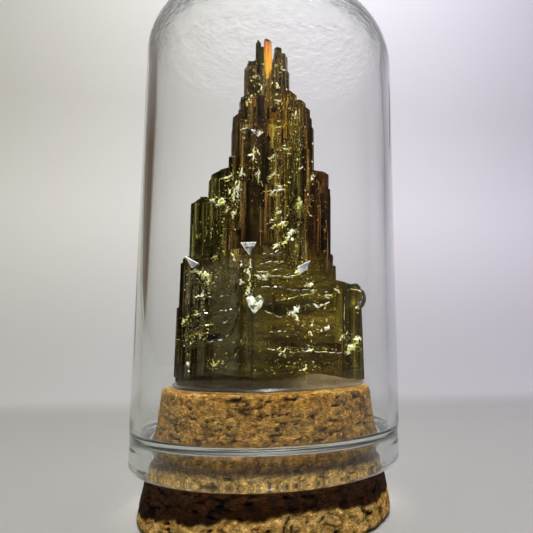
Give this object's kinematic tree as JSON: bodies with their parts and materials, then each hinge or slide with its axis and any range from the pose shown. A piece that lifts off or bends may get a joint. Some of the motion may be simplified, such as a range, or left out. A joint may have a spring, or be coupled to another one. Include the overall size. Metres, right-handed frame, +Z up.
{
  "type": "columnar crystal specimen in a corked glass dome",
  "caption": "Stepped, ribbed olive-brown crystal glued to a tapered cork and closed under a clear glass dome with a thick lip.",
  "frame": {"origin": "middle of the cork's underside, on the surface that it stands on", "axes": "+Z up along the dome's axis, +X to the right along the crystal's width, -Y towards the ridge on the crystal's front"},
  "size_m": [0.047, 0.047, 0.0978],
  "materials": {
    "clear_glass": "clear blown glass, polished, with a thick fire-rounded lip",
    "cork": "pressed cork granules, dry and rough, with dark cracks",
    "clear_glue": "clear glue set cloudy and glossy",
    "crystal": "glassy olive-brown, ribbed upright, with bright step edges"
  },
  "bodies": {
    "root": {"glass_dome": "clear_glass", "cork_base": "cork", "glue_pad": "clear_glue", "crystal_cluster": "crystal"}
  },
  "joints": []
}
